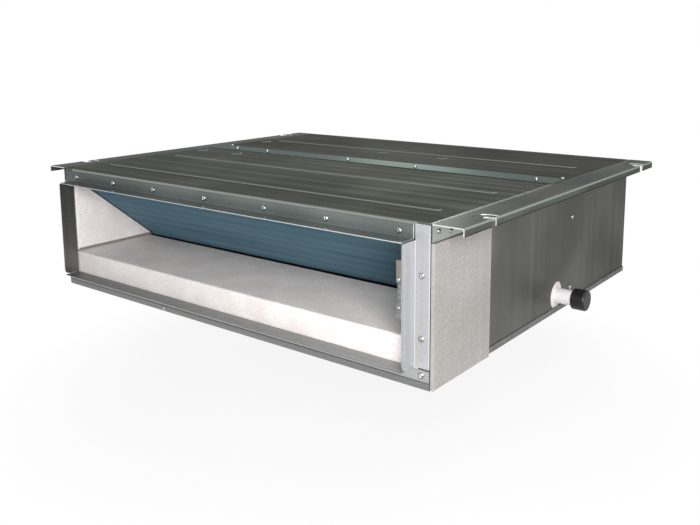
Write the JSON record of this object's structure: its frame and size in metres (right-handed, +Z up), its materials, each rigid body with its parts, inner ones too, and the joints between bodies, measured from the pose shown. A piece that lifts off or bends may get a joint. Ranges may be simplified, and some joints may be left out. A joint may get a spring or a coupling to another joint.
{
  "type": "ducted air conditioner",
  "caption": "Slim galvanised ceiling unit: front duct collar before a slanted blue coil and foam drain pan, hanger rails, capped drain spout, fans and slide-out rear filter.",
  "frame": {"origin": "centre of the casing's underside, on the bottom panel", "axes": "+X across the width to the side with the capped drain spout, +Y from the air outlet to the air inlet, +Z up"},
  "size_m": [0.9226, 0.744, 0.2214],
  "materials": {
    "galvanised_sheet": "galvanised, satin",
    "zinc_pale": "pale galvanised, satin",
    "foam": "white expanded foam",
    "fin_blue": "blue coated fins",
    "steel": "satin",
    "copper": "drawn copper tube",
    "brass": "machined",
    "white_plastic": "smooth white",
    "black_rubber": "satin black",
    "dark_plastic": "matt",
    "green_board": "lacquered board",
    "filter_mesh": "fine net"
  },
  "bodies": {
    "casing": {"top_panel_front": "galvanised_sheet", "top_panel_rear": "galvanised_sheet", "bottom_panel_front": "galvanised_sheet", "bottom_panel_rear": "galvanised_sheet", "side_panel_left": "galvanised_sheet", "side_panel_right": "galvanised_sheet", "side_cover_left": "zinc_pale", "side_cover_right": "zinc_pale", "hanger_rail_left": "galvanised_sheet", "hanger_rail_right": "galvanised_sheet", "collar_top": "galvanised_sheet", "collar_bottom": "galvanised_sheet", "collar_left": "galvanised_sheet", "collar_right": "galvanised_sheet", "outlet_clip": "galvanised_sheet", "drain_pan": "foam", "foam_cheek_left": "foam", "foam_cheek_right": "foam", "coil_fins": "fin_blue", "coil_end_left": "steel", "coil_end_right": "steel", "gas_pipe": "copper", "liquid_pipe": "copper", "gas_nut": "brass", "liquid_nut": "brass", "drain_spout_left": "white_plastic", "drain_spout_right": "white_plastic", "fan_deck": "galvanised_sheet", "fan_scroll_left": "dark_plastic", "fan_scroll_right": "dark_plastic", "fan_motor": "steel", "motor_cradle": "galvanised_sheet", "motor_strap_left": "galvanised_sheet", "motor_strap_right": "galvanised_sheet", "control_box": "galvanised_sheet", "control_cover": "galvanised_sheet", "control_board": "green_board", "terminal_block": "white_plastic", "fan_capacitor": "dark_plastic", "return_frame": "galvanised_sheet", "filter_guide_left": "galvanised_sheet", "filter_guide_right": "galvanised_sheet", "filter_stop": "galvanised_sheet"},
    "rotor": {"fan_wheel_left": "dark_plastic", "fan_wheel_right": "dark_plastic", "fan_shaft": "steel"},
    "air_filter": {"filter_frame": "dark_plastic", "filter_net": "filter_mesh"},
    "drain_plug": {"drain_cap": "black_rubber"}
  },
  "joints": [
    {"name": "fan_spin", "type": "hinge", "parent": "casing", "child": "rotor", "pos_m": [0, 0.174, 0.105], "axis": [1, 0, 0], "continuous": true},
    {"name": "filter_slide", "type": "slide", "parent": "casing", "child": "air_filter", "axis": [0, 0, -1], "range_m": [0, 0.19]},
    {"name": "drain_cap_pull", "type": "slide", "parent": "casing", "child": "drain_plug", "axis": [1, 0, 0], "range_m": [0, 0.03]}
  ]
}
